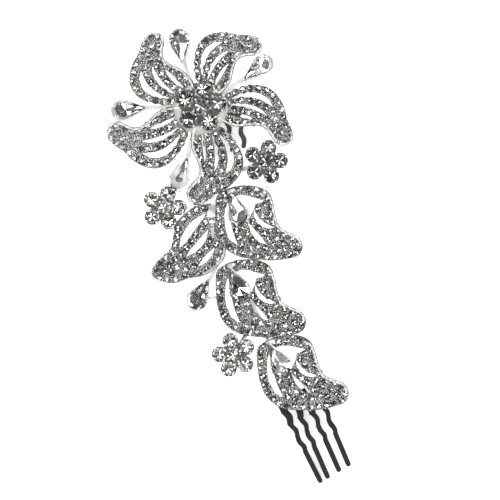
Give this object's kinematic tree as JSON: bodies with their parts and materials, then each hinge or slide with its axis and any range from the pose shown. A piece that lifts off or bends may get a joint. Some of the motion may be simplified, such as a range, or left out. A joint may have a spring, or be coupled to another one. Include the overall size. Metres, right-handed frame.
{
  "type": "bridal hair comb",
  "caption": "Bridal hair comb: a pierced lily with trailing leaves and small florets in silver plate, set with crystals, on black combs.",
  "frame": {"origin": "on the surface that the piece lies on, under the middle of its bounding box", "axes": "+Z out of the jewelled face, +Y towards the lily's end, +X across to the side of the trailing leaves' tips"},
  "size_m": [0.0816, 0.1512, 0.0117],
  "materials": {
    "silver": "polished silver plate over a cast base metal",
    "black_enamel": "gloss black enamel on steel",
    "crystal": "clear cut crystal with a silvered back"
  },
  "bodies": {
    "root": {"silver_frame": "silver", "comb_lower": "black_enamel", "comb_upper": "black_enamel", "centre_stone_1": "crystal", "centre_stone_2": "crystal", "centre_stone_3": "crystal", "centre_stone_4": "crystal", "centre_stone_5": "crystal", "centre_stone_6": "crystal", "drop_1": "crystal", "drop_2": "crystal", "drop_3": "crystal", "drop_4": "crystal", "drop_5": "crystal", "drop_6": "crystal", "drop_7": "crystal", "drop_8": "crystal", "floret_1_stone_1": "crystal", "floret_1_stone_2": "crystal", "floret_1_stone_3": "crystal", "floret_1_stone_4": "crystal", "floret_1_stone_5": "crystal", "floret_1_stone_6": "crystal", "floret_2_stone_1": "crystal", "floret_2_stone_2": "crystal", "floret_2_stone_3": "crystal", "floret_2_stone_4": "crystal", "floret_2_stone_5": "crystal", "floret_2_stone_6": "crystal", "floret_3_stone_1": "crystal", "floret_3_stone_2": "crystal", "floret_3_stone_3": "crystal", "floret_3_stone_4": "crystal", "floret_3_stone_5": "crystal", "floret_3_stone_6": "crystal"}
  },
  "joints": []
}
